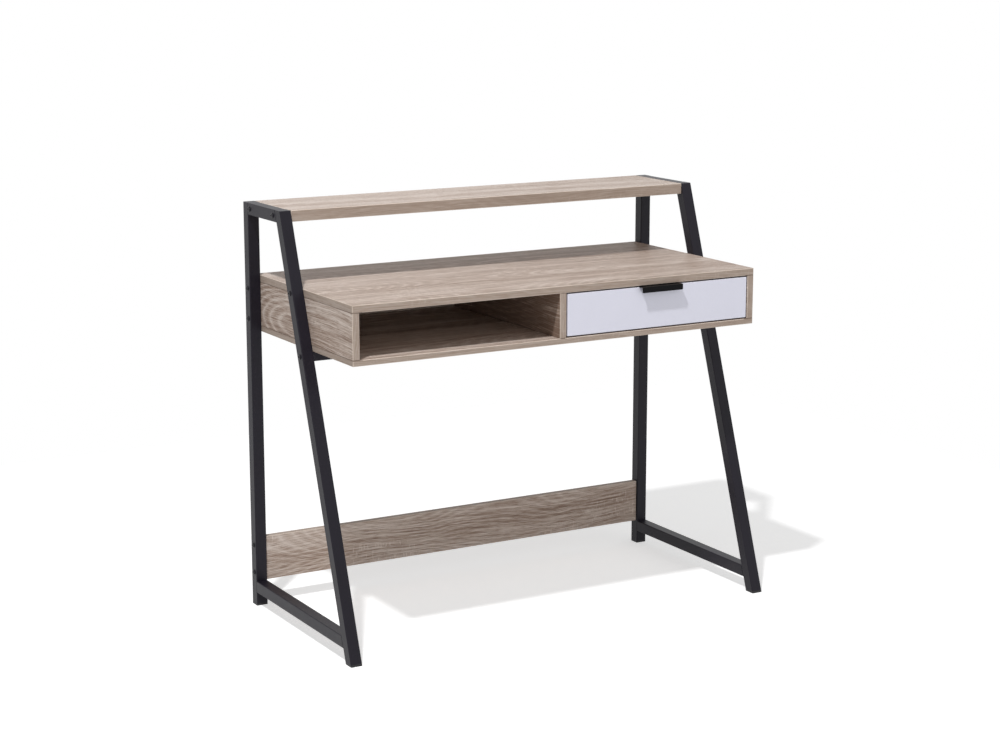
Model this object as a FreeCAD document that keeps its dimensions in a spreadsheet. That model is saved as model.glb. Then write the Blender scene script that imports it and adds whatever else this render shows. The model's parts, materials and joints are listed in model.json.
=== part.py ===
import FreeCAD
import Part
import os
import re
import Sketcher

# Office desk: two welded steel side frames carry a raised shelf and a box under the
# worktop, with an open bay on the left and a drawer on roller runners on the right.
# Millimetres, +Z up, front towards -Y, origin on the floor at the middle of the footprint.

# Driving dimensions. Each one is written once and becomes a named cell of the sheet.
SIZES = {
    # whole desk
    "overall_width": 1000,
    "overall_depth": 485,
    "overall_height": 870,
    # side frames
    "tube_size": 25,
    "tube_wall": 1.2,
    "tube_corner": 2,
    "front_leg_run": 300,
    "bottom_rail_height": 29,
    "cross_tube_size": 20,
    "cross_plug_length": 16,
    "foot_thickness": 4,
    "foot_stem": 20,
    "foot_clearance": 0.15,
    # boards
    "shelf_thickness": 23,
    "shelf_rise": 153,
    "box_height": 120,
    "box_setback": 25,
    "board_thickness": 15,
    "bottom_thickness": 12,
    "back_thickness": 12,
    "stretcher_height": 96,
    # frame bolts and the sleeves that take them
    "bolt_radius": 3,
    "bolt_head_radius": 5.25,
    "bolt_head_crown_radius": 3.4,
    "bolt_head_rim": 1.2,
    "bolt_head_height": 3.3,
    "bolt_socket_radius": 2.3,
    "bolt_socket_depth": 2,
    "bolt_reach": 10,
    "bolt_clearance": 0.25,
    "box_bolt_inset": 28,
    "stretcher_bolt_inset": 18,
    "shelf_bolt_rear": 32,
    "shelf_bolt_front": 36,
    "sleeve_radius": 4.5,
    "sleeve_length": 12,
    "sleeve_clearance": 0.1,
    # cam fittings and dowels of the box
    "cam_radius": 7.3,
    "cam_floor": 2.5,
    "cam_recess": 0.4,
    "cam_edge": 24,
    "cam_clearance": 0.2,
    "cam_slot_width": 1.4,
    "cam_slot_depth": 2,
    "cam_bolt_radius": 3.2,
    "cam_thread_radius": 2.5,
    "cam_thread_length": 9,
    "dowel_radius": 4,
    "dowel_into_panel": 9,
    "dowel_into_upright": 20,
    "joint_end": 50,
    "joint_spacing": 40,
    # drawer box
    "drawer_gap": 3,
    "drawer_front_thickness": 15,
    "drawer_wall": 12,
    "drawer_rear_space": 110,
    "drawer_headroom": 14,
    "drawer_bottom_thickness": 3,
    "drawer_bottom_inset": 8,
    "groove_depth": 5,
    "groove_clearance": 0.15,
    "drawer_cam_radius": 5.8,
    "drawer_cam_edge": 24,
    "drawer_bolt_into_front": 10,
    "back_screw_radius": 2.5,
    "back_screw_head_radius": 4,
    "back_screw_sink": 4,
    "back_screw_length": 40,
    "back_screw_end": 12,
    # drawer pull
    "pull_length": 100,
    "pull_sheet": 1.5,
    "pull_reach": 14,
    "pull_lip": 12,
    "pull_flange": 20,
    "pull_bend": 1,
    "pull_corner": 2,
    "pull_screw_pitch": 64,
    "pull_screw_length": 12,
    # roller runners
    "runner_space": 12.5,
    "runner_lift": 6,
    "runner_setback": 3,
    "runner_sheet": 1.2,
    "runner_rise": 6,
    "runner_floor_gap": 2,
    "runner_roof_gap": 3.5,
    "runner_stop_height": 14,
    "track_gap": 3,
    "track_foot_height": 2,
    "track_foot_width": 12,
    "roller_radius": 9,
    "roller_room": 5.5,
    "roller_side_gap": 1,
    "roller_gap": 0.3,
    "roller_inset": 14,
    "axle_radius": 2,
    "axle_clearance": 0.06,
    "axle_head_radius": 3.5,
    "axle_head": 0.8,
    # small screws of the runners and the pull
    "screw_radius": 1.6,
    "screw_head_radius": 2.8,
    "screw_length": 11,
    "screw_margin": 3,
    "screw_clearance": 0.1,
    # every cut runs past the face it starts from by this much
    "overrun": 2,
}

# An edge runs along an axis when this share of it, or more, goes that way: the lean is well inside it.
ALONG_SHARE = 0.75
# The screws of each runner member sit at these shares of its height.
CABINET_SCREW_SHARE = 0.5
TRACK_SCREW_SHARE = 0.8

# Places and sizes that follow from the driving dimensions.
PLACES = {
    "outer_x": "overall_width / 2",
    "inner_x": "outer_x - tube_size",
    "front_y": "-overall_depth / 2",
    "rear_y": "overall_depth / 2",
    "leg_lean": "front_leg_run / overall_height",
    "lean_stretch": "sqrt(1 + leg_lean * leg_lean)",
    "leg_depth": "tube_size * lean_stretch",
    "leg_wall": "tube_wall * lean_stretch",
    "rear_leg_y": "rear_y - tube_size",
    "rail_top": "bottom_rail_height + tube_size",
    "shelf_y": "front_y + front_leg_run",
    "box_y": "front_y + box_setback",
    "box_depth": "overall_depth - box_setback",
    "desktop_height": "overall_height - shelf_rise",
    "box_z": "desktop_height - box_height",
    "bay_bottom": "box_z + bottom_thickness",
    "bay_top": "desktop_height - board_thickness",
    "bay_height": "bay_top - bay_bottom",
    "bay_left": "board_thickness / 2",
    "bay_right": "inner_x - board_thickness",
    "back_y": "rear_y - back_thickness",
    "cross_z": "box_z - cross_tube_size / 2",
    "cross_y": "front_y + leg_lean * cross_z + leg_depth / 2",
    "desk_bolt_z": "desktop_height - board_thickness / 2",
    "desk_bolt_y": "front_y + leg_lean * desk_bolt_z + leg_depth / 2",
    "leg_middle_y": "rear_y - tube_size / 2",
    "rail_bolt_z": "overall_height - tube_size / 2",
    "stretcher_top": "rail_top + stretcher_height",
    "cam_depth": "board_thickness - cam_floor",
    "drawer_cam_depth": "drawer_wall - cam_floor",
    "bolt_length": "tube_size + bolt_reach",
    "bolt_hole_radius": "bolt_radius + bolt_clearance",
    "drawer_x": "bay_left + runner_space",
    "drawer_right": "bay_right - runner_space",
    "drawer_y": "box_y + drawer_front_thickness",
    "drawer_length": "box_depth - drawer_rear_space",
    "drawer_end": "drawer_y + drawer_length",
    "runner_z": "bay_bottom + runner_lift",
    "drawer_z": "runner_z + track_foot_height + runner_sheet",
    "drawer_floor": "drawer_z + drawer_bottom_inset",
    "drawer_floor_top": "drawer_floor + drawer_bottom_thickness",
    "drawer_top": "bay_top - drawer_headroom",
    "drawer_side_height": "drawer_top - drawer_z",
    "front_top": "bay_top - drawer_gap",
    "runner_y": "drawer_y + runner_setback",
    "runner_end": "runner_y + drawer_length",
    "runner_floor_width": "runner_space - runner_floor_gap",
    "runner_roof_width": "runner_space - runner_roof_gap",
    "runner_height": "track_height + runner_rise",
    "track_width": "runner_space - track_gap",
    "track_height": "2 * (roller_radius + roller_gap + runner_sheet)",
    "roller_width": "runner_space - roller_room",
    "track_end": "runner_end - runner_sheet - roller_gap",
    "track_length": "track_end - drawer_y",
    "axle_z": "runner_z + runner_sheet + roller_gap + roller_radius",
    "roller_offset": "runner_sheet + roller_side_gap",
    "axle_length": "roller_offset + roller_width + roller_gap",
    "cabinet_axle_y": "runner_y + roller_inset",
    "drawer_axle_y": "track_end - roller_inset",
    "track_screw_length": "runner_sheet + drawer_wall - screw_margin",
    "drawer_inside_x": "drawer_x + drawer_wall",
    "drawer_inside": "drawer_right - drawer_wall - drawer_inside_x",
    "drawer_cam_y": "drawer_y + drawer_cam_edge",
    "drawer_cam_z": "drawer_z + drawer_side_height / 2",
    "drawer_back_y": "drawer_end - drawer_wall",
    "back_screw_y": "drawer_end - drawer_wall / 2",
    "drawer_middle": "(bay_left + bay_right) / 2",
    "pull_screw_z": "front_top - pull_flange / 2",
    "groove_height": "drawer_bottom_thickness + 2 * groove_clearance",
}

doc = FreeCAD.newDocument("office_desk")
sheet = doc.addObject("Spreadsheet::Sheet", "Sizes")
for row, (alias, number) in enumerate(SIZES.items(), start=1):
    sheet.set(f"A{row}", alias)
    sheet.set(f"B{row}", str(number))
    sheet.setAlias(f"B{row}", alias)
doc.recompute()

NAME = re.compile(r"[a-z][a-z0-9_]*")
DIRECTIONS = {
    "+X": FreeCAD.Vector(1, 0, 0),
    "-X": FreeCAD.Vector(-1, 0, 0),
    "+Y": FreeCAD.Vector(0, 1, 0),
    "-Y": FreeCAD.Vector(0, -1, 0),
    "+Z": FreeCAD.Vector(0, 0, 1),
    "-Z": FreeCAD.Vector(0, 0, -1),
}
nodes = []


def formula(text):
    """Spell a formula out in cells of the sheet."""

    def spell(match):
        word = match.group()
        if word in SIZES:
            return f"Sizes.{word}"
        if word in PLACES:
            return f"({formula(PLACES[word])})"
        return word

    return NAME.sub(spell, str(text))


def value(text):
    """The number that a formula gives now."""
    return float(sheet.evalExpression(formula(text)))


def bind(thing, **formulas):
    """Tie properties of an object to formulas."""
    for name, text in formulas.items():
        thing.setExpression(name, formula(text))


def place(thing, corner):
    """Tie an object's place to three formulas."""
    for axis, text in zip("xyz", corner):
        thing.setExpression(f"Placement.Base.{axis}", formula(text))


def keep(label, thing):
    """Make an object the sub-part of this name."""
    thing.Label = label
    nodes.append(thing)
    return thing


def block(name, size, corner):
    """A straight block from its low corner."""
    piece = doc.addObject("Part::Box", name)
    bind(piece, Length=size[0], Width=size[1], Height=size[2])
    place(piece, corner)
    return piece


def turned(piece, along):
    """Turn a piece that is made along +Z."""
    turn = FreeCAD.Rotation(DIRECTIONS["+Z"], DIRECTIONS[along])
    piece.Placement = FreeCAD.Placement(FreeCAD.Vector(), turn)
    return piece


def rod(name, radius, length, start, along):
    """A round rod from the middle of its first end."""
    piece = turned(doc.addObject("Part::Cylinder", name), along)
    bind(piece, Radius=radius, Height=length)
    place(piece, start)
    return piece


def cone(name, first_radius, last_radius, length, start, along):
    """A tapered rod from the middle of its first end."""
    piece = turned(doc.addObject("Part::Cone", name), along)
    bind(piece, Radius1=first_radius, Radius2=last_radius, Height=length)
    place(piece, start)
    return piece


def slanted(name, low, high, across):
    """A block whose front and rear faces may lean: low and high are (z, front, rear), across is x."""
    piece = doc.addObject("Part::Wedge", name)
    turn = FreeCAD.Rotation(DIRECTIONS["+Y"], DIRECTIONS["+Z"], DIRECTIONS["+X"], "ZXY")
    piece.Placement = FreeCAD.Placement(FreeCAD.Vector(), turn)
    bind(piece, Ymin=low[0], Xmin=low[1], Xmax=low[2])
    bind(piece, Ymax=high[0], X2min=high[1], X2max=high[2])
    bind(piece, Zmin=across[0], Zmax=across[1], Z2min=across[0], Z2max=across[1])
    return piece


def group(name, members):
    """Several solids as one object."""
    gathered = doc.addObject("Part::Compound", name)
    gathered.Links = members
    return gathered


def joined(name, members):
    """Several touching shapes as one solid."""
    whole = doc.addObject("Part::MultiFuse", name)
    whole.Shapes = members
    whole.Refine = True
    return whole


def cut(name, base, tools):
    """A piece with tools taken out of it."""
    result = doc.addObject("Part::Cut", name)
    result.Base = base
    result.Tool = tools[0] if len(tools) == 1 else group(f"{name}_tools", tools)
    return result


def softened(name, base, along):
    """A tube's blank, or a foot's, with the four corners that run along an axis, or near it, rounded."""
    doc.recompute()
    radius = value("tube_corner")
    chosen = []
    for index, edge in enumerate(base.Shape.Edges, start=1):
        run = (edge.Vertexes[1].Point - edge.Vertexes[0].Point).normalize()
        if abs(run.dot(DIRECTIONS[along])) > ALONG_SHARE:
            chosen.append((index, radius, radius))
    result = doc.addObject("Part::Fillet", name)
    result.Base = base
    result.Edges = chosen
    return result


def outline(body, role, corners):
    """A closed outline on an origin plane of its body, each corner tied to two formulas."""
    sketch = body.newObject("Sketcher::SketchObject", f"{body.Name}_outline")
    plane = next(item for item in body.Origin.OriginFeatures if item.Role == role)
    sketch.AttachmentSupport = [(plane, "")]
    sketch.MapMode = "FlatFace"
    points = [FreeCAD.Vector(value(across), value(up), 0) for across, up in corners]
    for first, second in zip(points, points[1:] + points[:1]):
        sketch.addGeometry(Part.LineSegment(first, second), False)
    for line in range(len(points)):
        following = (line + 1) % len(points)
        sketch.addConstraint(Sketcher.Constraint("Coincident", line, 2, following, 1))
    for line, (across, up) in enumerate(corners):
        start = points[line]
        for kind, text, number in (("DistanceX", across, start.x), ("DistanceY", up, start.y)):
            index = sketch.addConstraint(Sketcher.Constraint(kind, -1, 1, line, 1, number))
            sketch.setExpression(f"Constraints[{index}]", formula(text))
    return sketch


def pressed(name, role, corners, length, corner, backwards=False):
    """Bent sheet: an outline padded along its plane's normal, or against it."""
    body = doc.addObject("PartDesign::Body", name)
    sketch = outline(body, role, corners)
    pad = body.newObject("PartDesign::Pad", f"{name}_pad")
    pad.Profile = sketch
    bind(pad, Length=length)
    pad.Reversed = backwards
    place(body, corner)
    return body


# Frame bolts: where each one enters the outer face of a side frame, as (y, z).
def pair_within(y, low, high, inset):
    """Two bolts one above the other, each an inset away from an edge."""
    return [(y, f"{high} - {inset}"), (y, f"{low} + {inset}")]


SHELF_BOLTS = [
    ("rear_y - shelf_bolt_rear", "rail_bolt_z"),
    ("shelf_y + shelf_bolt_front", "rail_bolt_z"),
]
DESK_REAR_BOLTS = pair_within("leg_middle_y", "box_z", "desktop_height", "box_bolt_inset")
DESK_FRONT_BOLTS = [("desk_bolt_y", "desk_bolt_z")]
CROSS_BOLTS = [("cross_y", "cross_z")]
STRETCHER_BOLTS = pair_within("leg_middle_y", "rail_top", "stretcher_top", "stretcher_bolt_inset")
REAR_LEG_BOLTS = DESK_REAR_BOLTS + STRETCHER_BOLTS
FRONT_LEG_BOLTS = DESK_FRONT_BOLTS + CROSS_BOLTS

# Each side: its name, the sign of x, and the way into the desk.
SIDES = (("left", "-1", "+X"), ("right", "1", "-X"))


def bolt_holes(name, sign, inwards, places):
    """Clearance holes through both walls of a tube."""
    holes = []
    for number, (y, z) in enumerate(places):
        start = (f"{sign} * (outer_x + overrun)", y, z)
        length = "tube_size + 2 * overrun"
        holes.append(rod(f"{name}_hole_{number}", "bolt_hole_radius", length, start, inwards))
    return holes


def across_tube(sign):
    """The x range of a side frame's tube, low end first."""
    return ("-outer_x", "-inner_x") if sign == "-1" else ("inner_x", "outer_x")


def across_bore(sign):
    """The x range of the hollow in a side frame's tube."""
    low, high = across_tube(sign)
    return (f"{low} + tube_wall", f"{high} - tube_wall")


def leaning(z, past="0"):
    """The y of the front leg's front face at a height, plus a step towards the rear."""
    return f"front_y + leg_lean * ({z}) + {past}"


def make_rear_leg(side, sign, inwards):
    """Upright square tube, closed at the top, open at the foot."""
    name = f"{side}_rear_leg"
    low = across_tube(sign)[0]
    size = ("tube_size", "tube_size", "overall_height - foot_thickness")
    blank = block(f"{name}_blank", size, (low, "rear_leg_y", "foot_thickness"))
    bore_size = ("tube_size - 2 * tube_wall", "tube_size - 2 * tube_wall", "overall_height - tube_wall")
    bore = block(f"{name}_bore", bore_size, (f"{low} + tube_wall", "rear_leg_y + tube_wall", "0"))
    holes = bolt_holes(name, sign, inwards, REAR_LEG_BOLTS)
    keep(name, cut(name, softened(f"{name}_rounded", blank, "+Z"), [bore] + holes))


def make_front_leg(side, sign, inwards):
    """Leaning square tube, cut level at the floor and at the top, closed at the top."""
    name = f"{side}_front_leg"
    low = ("foot_thickness", leaning("foot_thickness"), leaning("foot_thickness", "leg_depth"))
    high = ("overall_height", leaning("overall_height"), leaning("overall_height", "leg_depth"))
    blank = slanted(f"{name}_blank", low, high, across_tube(sign))
    bore_low = ("0", leaning("0", "leg_wall"), leaning("0", "leg_depth - leg_wall"))
    ceiling = "overall_height - tube_wall"
    bore_high = (ceiling, leaning(ceiling, "leg_wall"), leaning(ceiling, "leg_depth - leg_wall"))
    bore = slanted(f"{name}_bore", bore_low, bore_high, across_bore(sign))
    holes = bolt_holes(name, sign, inwards, FRONT_LEG_BOLTS)
    keep(name, cut(name, softened(f"{name}_rounded", blank, "+Z"), [bore] + holes))


def make_rail(side, sign, inwards, kind, base, bolts):
    """Level square tube between the two legs, its front end cut to the lean."""
    name = f"{side}_{kind}_rail"
    top = f"{base} + tube_size"
    low = (base, leaning(base, "leg_depth"), "rear_leg_y")
    high = (top, leaning(top, "leg_depth"), "rear_leg_y")
    blank = slanted(f"{name}_blank", low, high, across_tube(sign))
    floor = f"{base} + tube_wall"
    ceiling = f"{top} - tube_wall"
    bore_low = (floor, leaning(floor, "leg_depth - overrun"), "rear_leg_y + overrun")
    bore_high = (ceiling, leaning(ceiling, "leg_depth - overrun"), "rear_leg_y + overrun")
    bore = slanted(f"{name}_bore", bore_low, bore_high, across_bore(sign))
    holes = bolt_holes(name, sign, inwards, bolts)
    keep(name, cut(name, softened(f"{name}_rounded", blank, "+Y"), [bore] + holes))


def make_feet(side, sign):
    """Moulded plugs: a level sole under the tube and a stem pushed up inside it."""
    low, high = across_bore(sign)
    inside = (f"{low} + foot_clearance", f"{high} - foot_clearance")
    stem_top = "foot_thickness + foot_stem"
    for leg in ("rear", "front"):
        name = f"{side}_{leg}_foot"
        if leg == "rear":
            step = "tube_wall + foot_clearance"
            sole_low = ("0", "rear_leg_y", "rear_y")
            sole_high = ("foot_thickness", "rear_leg_y", "rear_y")
            stem_low = ("foot_thickness", f"rear_leg_y + {step}", f"rear_y - ({step})")
            stem_high = (stem_top, f"rear_leg_y + {step}", f"rear_y - ({step})")
        else:
            step = "(leg_wall + foot_clearance)"
            seat = "foot_thickness"
            sole_low = ("0", leaning("0"), leaning("0", "leg_depth"))
            sole_high = (seat, leaning(seat), leaning(seat, "leg_depth"))
            stem_low = (seat, leaning(seat, step), leaning(seat, f"leg_depth - {step}"))
            stem_high = (stem_top, leaning(stem_top, step), leaning(stem_top, f"leg_depth - {step}"))
        sole_blank = slanted(f"{name}_blank", sole_low, sole_high, across_tube(sign))
        sole = softened(f"{name}_sole", sole_blank, "+Z")
        stem = slanted(f"{name}_stem", stem_low, stem_high, inside)
        keep(name, joined(name, [sole, stem]))


def make_cross_tube():
    """Level tube under the box, bolted between the two front legs."""
    size = "cross_tube_size"
    corner = ("-inner_x", f"cross_y - {size} / 2", f"cross_z - {size} / 2")
    blank = block("cross_tube_blank", ("2 * inner_x", size, size), corner)
    hollow = f"{size} - 2 * tube_wall"
    bore_corner = ("-inner_x - overrun", f"cross_y - ({hollow}) / 2", f"cross_z - ({hollow}) / 2")
    bore = block("cross_tube_bore", ("2 * (inner_x + overrun)", hollow, hollow), bore_corner)
    keep("cross_tube", cut("cross_tube", softened("cross_tube_rounded", blank, "+X"), [bore]))
    plugs = []
    for side, sign, inwards in SIDES:
        width = f"{hollow} - 2 * foot_clearance"
        start_x = "-inner_x" if sign == "-1" else "inner_x - cross_plug_length"
        plug_corner = (start_x, f"cross_y - ({width}) / 2", f"cross_z - ({width}) / 2")
        plug = block(f"{side}_cross_plug_blank", ("cross_plug_length", width, width), plug_corner)
        start = (f"{sign} * (inner_x + overrun)", "cross_y", "cross_z")
        radius = "bolt_radius + sleeve_clearance"
        hole = rod(f"{side}_cross_plug_hole", radius, "cross_plug_length + 2 * overrun", start, inwards)
        plugs.append(cut(f"{side}_cross_plug", plug, [hole]))
    keep("cross_tube_plugs", group("cross_tube_plugs", plugs))


def make_bolts(label, places):
    """Button-head bolts, the same on both sides: crown, rim, shank and six-sided socket."""
    bolts = []
    for side, sign, inwards in SIDES:
        outwards = "-X" if inwards == "+X" else "+X"
        for number, (y, z) in enumerate(places):
            name = f"{label}_{side}_{number}"
            seat = (f"{sign} * outer_x", y, z)
            rim_end = (f"{sign} * (outer_x + bolt_head_rim)", y, z)
            rise = "bolt_head_height - bolt_head_rim"
            wide = "bolt_head_radius"
            narrow = "bolt_head_crown_radius"
            solid = joined(f"{name}_solid", [
                rod(f"{name}_shank", "bolt_radius", "bolt_length", seat, inwards),
                rod(f"{name}_rim", wide, "bolt_head_rim", seat, outwards),
                cone(f"{name}_crown", wide, narrow, rise, rim_end, outwards),
            ])
            socket = turned(doc.addObject("Part::Prism", f"{name}_socket"), outwards)
            socket.Polygon = 6
            bind(socket, Circumradius="bolt_socket_radius", Height="bolt_socket_depth + overrun")
            place(socket, (f"{sign} * (outer_x + bolt_head_height - bolt_socket_depth)", y, z))
            bolts.append(cut(name, solid, [socket]))
    keep(label, group(label, bolts))


def sleeve_bores(name, places, sides=SIDES):
    """Blind bores in a board's ends for the threaded sleeves."""
    bores = []
    for side, sign, inwards in sides:
        for number, (y, z) in enumerate(places):
            start = (f"{sign} * (inner_x + overrun)", y, z)
            radius = "sleeve_radius + sleeve_clearance"
            length = "sleeve_length + sleeve_clearance + overrun"
            bores.append(rod(f"{name}_{side}_bore_{number}", radius, length, start, inwards))
    return bores


def make_sleeves(label, places):
    """Threaded steel sleeves set into the boards, where the frame bolts end."""
    sleeves = []
    for side, sign, inwards in SIDES:
        for number, (y, z) in enumerate(places):
            name = f"{label}_{side}_{number}"
            mouth = (f"{sign} * inner_x", y, z)
            outer = rod(f"{name}_outer", "sleeve_radius", "sleeve_length", mouth, inwards)
            start = (f"{sign} * (inner_x + overrun)", y, z)
            radius = "bolt_radius + sleeve_clearance"
            thread = rod(f"{name}_thread", radius, "sleeve_length + 2 * overrun", start, inwards)
            sleeves.append(cut(name, outer, [thread]))
    keep(label, group(label, sleeves))


# Uprights of the box: low x, and the side on which their cam fittings open.
UPRIGHTS = (
    ("left_side_panel", "-inner_x", "+X"),
    ("divider_panel", "-bay_left", "+X"),
    ("right_side_panel", "bay_right", "-X"),
)
CAM_ROWS = ("box_y + joint_end", "back_y - joint_end")
DOWEL_ROWS = ("box_y + joint_end + joint_spacing", "back_y - joint_end - joint_spacing")
# Upper and lower joints of an upright: its edge, the way into the upright, the way into the other board.
EDGES = (("upper", "bay_top", "-Z", "+Z"), ("lower", "bay_bottom", "+Z", "-Z"))


def cam_sites():
    """Every cam joint: name, upright, open face, row, edge and the two ways from it."""
    for upright, low, opens in UPRIGHTS:
        face = f"{low} + board_thickness" if opens == "+X" else low
        for number, row_y in enumerate(CAM_ROWS):
            for edge, edge_z, into, away in EDGES:
                step = "-1" if into == "-Z" else "1"
                centre_z = f"{edge_z} + {step} * cam_edge"
                name = f"{upright}_{edge}_{number}"
                yield name, upright, low, face, opens, row_y, edge_z, centre_z, into, away


def dowel_sites():
    """Every dowel: name, upright, middle of the board, row, edge and the two ways from it."""
    for upright, low, opens in UPRIGHTS:
        for number, row_y in enumerate(DOWEL_ROWS):
            for edge, edge_z, into, away in EDGES:
                middle = f"{low} + board_thickness / 2"
                yield f"{upright}_{edge}_{number}", upright, middle, row_y, edge_z, into, away


def shifted(z, way, distance):
    """A height moved up or down by a distance."""
    return f"{z} + {distance}" if way == "+Z" else f"{z} - ({distance})"


def upright_bores(upright):
    """Cam pockets, cam-bolt bores and dowel bores of one upright."""
    bores = []
    for name, owner, low, face, opens, row_y, edge_z, centre_z, into, away in cam_sites():
        if owner == upright:
            inwards = "-X" if opens == "+X" else "+X"
            out = "1" if opens == "+X" else "-1"
            radius = "cam_radius + cam_clearance"
            start = (f"{face} + {out} * overrun", row_y, centre_z)
            depth = "cam_depth + cam_clearance + overrun"
            bores.append(rod(f"{name}_pocket", radius, depth, start, inwards))
            middle = (f"{low} + board_thickness / 2", row_y, shifted(edge_z, away, "overrun"))
            radius = "cam_bolt_radius + cam_clearance"
            bores.append(rod(f"{name}_channel", radius, "cam_edge + overrun", middle, into))
    for name, owner, middle, row_y, edge_z, into, away in dowel_sites():
        if owner == upright:
            start = (middle, row_y, shifted(edge_z, away, "overrun"))
            length = "dowel_into_upright + sleeve_clearance + overrun"
            bores.append(rod(f"{name}_dowel_bore", "dowel_radius + sleeve_clearance", length, start, into))
    return bores


def board_bores(edge):
    """Blind bores in the worktop's underside, or in the bottom board's upper face."""
    bores = []
    for name, owner, low, face, opens, row_y, edge_z, centre_z, into, away in cam_sites():
        if f"_{edge}_" in name:
            start = (f"{low} + board_thickness / 2", row_y, shifted(edge_z, into, "overrun"))
            radius = "cam_thread_radius + sleeve_clearance"
            length = "cam_thread_length + sleeve_clearance + overrun"
            bores.append(rod(f"{name}_thread_bore", radius, length, start, away))
    for name, owner, middle, row_y, edge_z, into, away in dowel_sites():
        if f"_{edge}_" in name:
            start = (middle, row_y, shifted(edge_z, into, "overrun"))
            length = "dowel_into_panel + sleeve_clearance + overrun"
            bores.append(rod(f"{name}_board_bore", "dowel_radius + sleeve_clearance", length, start, away))
    return bores


def make_cam_fittings():
    """Cam locks in the uprights, the bolts they draw in, and the wooden dowels beside them."""
    locks = []
    bolts = []
    for name, owner, low, face, opens, row_y, edge_z, centre_z, into, away in cam_sites():
        inwards = "-X" if opens == "+X" else "+X"
        out = "1" if opens == "+X" else "-1"
        start = (f"{face} - {out} * cam_recess", row_y, centre_z)
        body = rod(f"{name}_cam_body", "cam_radius", "cam_depth - cam_recess", start, inwards)
        middle = f"{low} + board_thickness / 2"
        radius = "cam_bolt_radius + cam_clearance"
        throat_start = (middle, row_y, shifted(centre_z, away, "cam_radius + overrun"))
        throat = rod(f"{name}_throat", radius, "cam_radius + cam_bolt_radius + overrun", throat_start, into)
        slot_depth = "cam_slot_depth + overrun"
        slot_x = f"{face} + cam_recess - overrun"
        if opens == "+X":
            slot_x = f"{face} - cam_recess - cam_slot_depth"
        slot_corner = (slot_x, f"{row_y} - cam_radius / 2", f"{centre_z} - cam_slot_width / 2")
        slot = block(f"{name}_slot", (slot_depth, "cam_radius", "cam_slot_width"), slot_corner)
        locks.append(cut(f"{name}_cam", body, [throat, slot]))
        seat = (middle, row_y, edge_z)
        bolts.append(joined(f"{name}_cam_bolt", [
            rod(f"{name}_cam_shank", "cam_bolt_radius", "cam_edge", seat, into),
            rod(f"{name}_cam_thread", "cam_thread_radius", "cam_thread_length", seat, away),
        ]))
    dowels = []
    for name, owner, middle, row_y, edge_z, into, away in dowel_sites():
        start = (middle, row_y, shifted(edge_z, away, "dowel_into_panel"))
        length = "dowel_into_panel + dowel_into_upright"
        dowels.append(rod(f"{name}_dowel", "dowel_radius", length, start, into))
    keep("cam_locks", group("cam_locks", locks))
    keep("cam_bolts", group("cam_bolts", bolts))
    keep("dowels", group("dowels", dowels))


def make_boards():
    """Shelf, worktop, the rest of the box, and the board between the rear legs."""
    size = ("2 * inner_x", "rear_y - shelf_y", "shelf_thickness")
    blank = block("top_shelf_blank", size, ("-inner_x", "shelf_y", "overall_height - shelf_thickness"))
    keep("top_shelf", cut("top_shelf", blank, sleeve_bores("top_shelf", SHELF_BOLTS)))

    size = ("2 * inner_x", "box_depth", "board_thickness")
    blank = block("desktop_panel_blank", size, ("-inner_x", "box_y", "bay_top"))
    bores = sleeve_bores("desktop_panel", DESK_FRONT_BOLTS) + board_bores("upper")
    keep("desktop_panel", cut("desktop_panel", blank, bores))

    size = ("2 * inner_x", "box_depth", "bottom_thickness")
    blank = block("box_bottom_blank", size, ("-inner_x", "box_y", "box_z"))
    keep("box_bottom_panel", cut("box_bottom_panel", blank, board_bores("lower")))

    for upright, low, opens in UPRIGHTS:
        depth = "box_depth - back_thickness"
        bores = upright_bores(upright)
        if upright == "divider_panel":
            bores += runner_screw_bores("left")
        else:
            depth = "box_depth"
            side = SIDES[0] if upright.startswith("left") else SIDES[1]
            bores += sleeve_bores(upright, DESK_REAR_BOLTS, [side])
            if upright.startswith("right"):
                bores += runner_screw_bores("right")
        size = ("board_thickness", depth, "bay_height")
        blank = block(f"{upright}_blank", size, (low, "box_y", "bay_bottom"))
        keep(upright, cut(upright, blank, bores))

    size = ("2 * bay_right", "back_thickness", "bay_height")
    keep("back_panel", block("back_panel", size, ("-bay_right", "back_y", "bay_bottom")))

    size = ("2 * inner_x", "board_thickness", "stretcher_height")
    corner = ("-inner_x", "leg_middle_y - board_thickness / 2", "rail_top")
    blank = block("stretcher_blank", size, corner)
    keep("stretcher_board", cut("stretcher_board", blank, sleeve_bores("stretcher", STRETCHER_BOLTS)))


# Runner screws keep half a spacing away from the rows of cams and dowels; both members share them.
RUNNER_SCREWS = (
    "box_y + joint_end + joint_spacing / 2",
    "(box_y + back_y - joint_spacing) / 2",
    "back_y - joint_end - 3 * joint_spacing / 2",
)
CABINET_SCREW_Z = f"runner_z + runner_height * {CABINET_SCREW_SHARE}"
TRACK_SCREW_Z = f"runner_z + track_height * {TRACK_SCREW_SHARE}"


def wall_x(side, distance):
    """The x at a distance from the bay's wall, towards the drawer."""
    return f"bay_left + {distance}" if side == "left" else f"bay_right - ({distance})"


def ways(side):
    """The way from the bay's wall towards the drawer, and the way back."""
    return ("+X", "-X") if side == "left" else ("-X", "+X")


def runner_screw_bores(side):
    """Pilot bores for the runner screws in the bay's wall."""
    towards, back = ways(side)
    bores = []
    for number, y in enumerate(RUNNER_SCREWS):
        start = (wall_x(side, "runner_sheet"), y, CABINET_SCREW_Z)
        radius = "screw_radius + screw_clearance"
        length = "screw_length + runner_sheet + screw_clearance"
        bores.append(rod(f"{side}_runner_pilot_{number}", radius, length, start, back))
    return bores


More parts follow.
